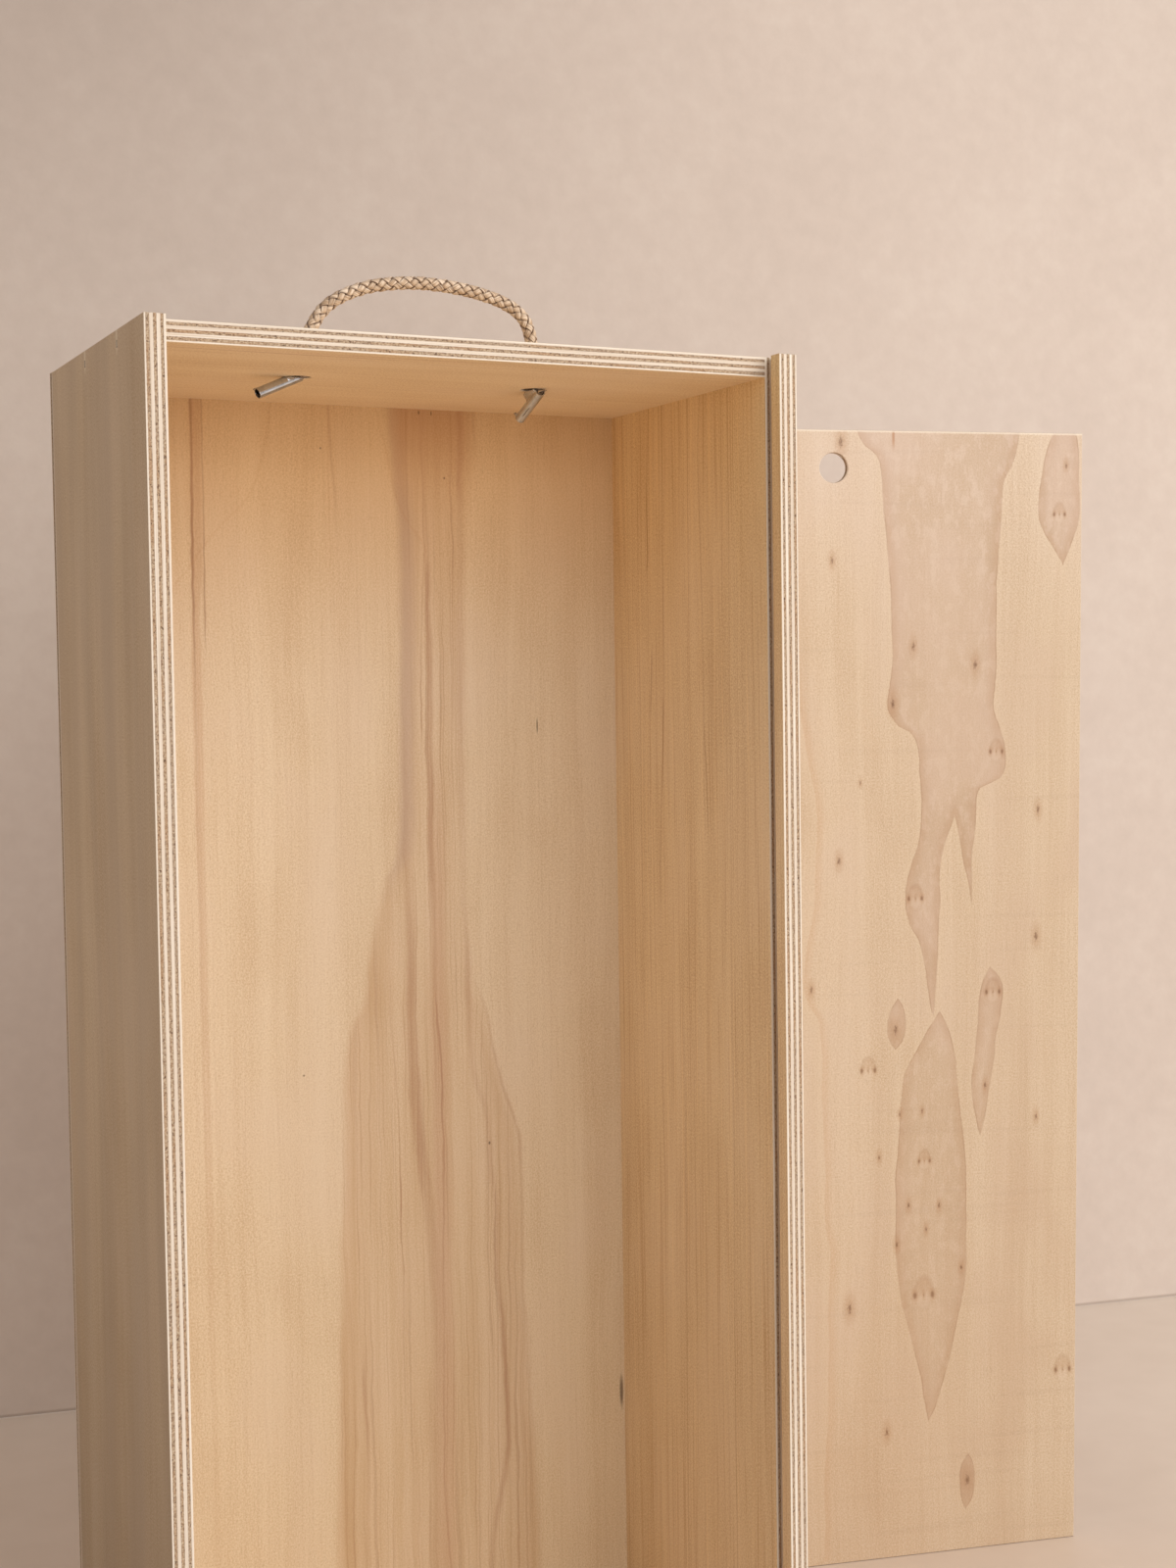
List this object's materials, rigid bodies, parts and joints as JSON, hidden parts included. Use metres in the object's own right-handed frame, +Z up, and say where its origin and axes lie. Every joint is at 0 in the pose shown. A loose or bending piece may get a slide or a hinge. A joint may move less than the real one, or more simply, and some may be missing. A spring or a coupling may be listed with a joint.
{
  "type": "ham box",
  "caption": "Tall plywood box with an open front, a grooved sliding lid with a finger hole, and a braided rope handle on its top end.",
  "frame": {"origin": "centre of the box's footprint, on the surface it stands on", "axes": "+Z up along the standing box, -Y towards the open front, +X to the right as seen from the front"},
  "size_m": [0.6286, 0.2312, 0.7593],
  "materials": {
    "plywood": "bare sanded seven-ply poplar plywood, ply stripes on the edges",
    "thin_plywood": "bare sanded three-ply poplar plywood with darker heartwood figure",
    "braided_rope": "braided natural fibre rope, straw coloured",
    "clip_steel": "bright rolled sheet steel",
    "brad_steel": "dark steel brads, driven below the surface"
  },
  "bodies": {
    "box": {"left_side": "plywood", "right_side": "plywood", "top_end": "plywood", "bottom_end": "plywood", "back_panel": "thin_plywood", "rope_end_left": "braided_rope", "rope_end_right": "braided_rope", "brads_top_left": "brad_steel", "brads_top_right": "brad_steel", "brads_bottom_left": "brad_steel", "brads_bottom_right": "brad_steel", "brads_back_left": "brad_steel", "brads_back_right": "brad_steel", "brads_back_top": "brad_steel", "brads_back_bottom": "brad_steel"},
    "lid": {"lid": "thin_plywood"},
    "handle": {"handle_rope": "braided_rope"},
    "clip_left": {"clip_left": "clip_steel", "rope_tail_left": "braided_rope"},
    "clip_right": {"clip_right": "clip_steel", "rope_tail_right": "braided_rope"}
  },
  "joints": [
    {"name": "lid_slide", "type": "slide", "parent": "box", "child": "lid", "axis": [0, 0, 1], "range_m": [0, 0.705]},
    {"name": "handle_swing", "type": "hinge", "parent": "box", "child": "handle", "pos_m": [0, 0, 0.719], "axis": [1, 0, 0], "range_deg": [-80, 80], "stiffness_Nm_per_rad": 0.02},
    {"name": "clip_left_swivel", "type": "hinge", "parent": "box", "child": "clip_left", "pos_m": [-0.064, 0, 0.704], "axis": [0, 0, 1], "range_deg": [-90, 90]},
    {"name": "clip_right_swivel", "type": "hinge", "parent": "box", "child": "clip_right", "pos_m": [0.0645, 0, 0.704], "axis": [0, 0, 1], "range_deg": [-90, 90]}
  ]
}
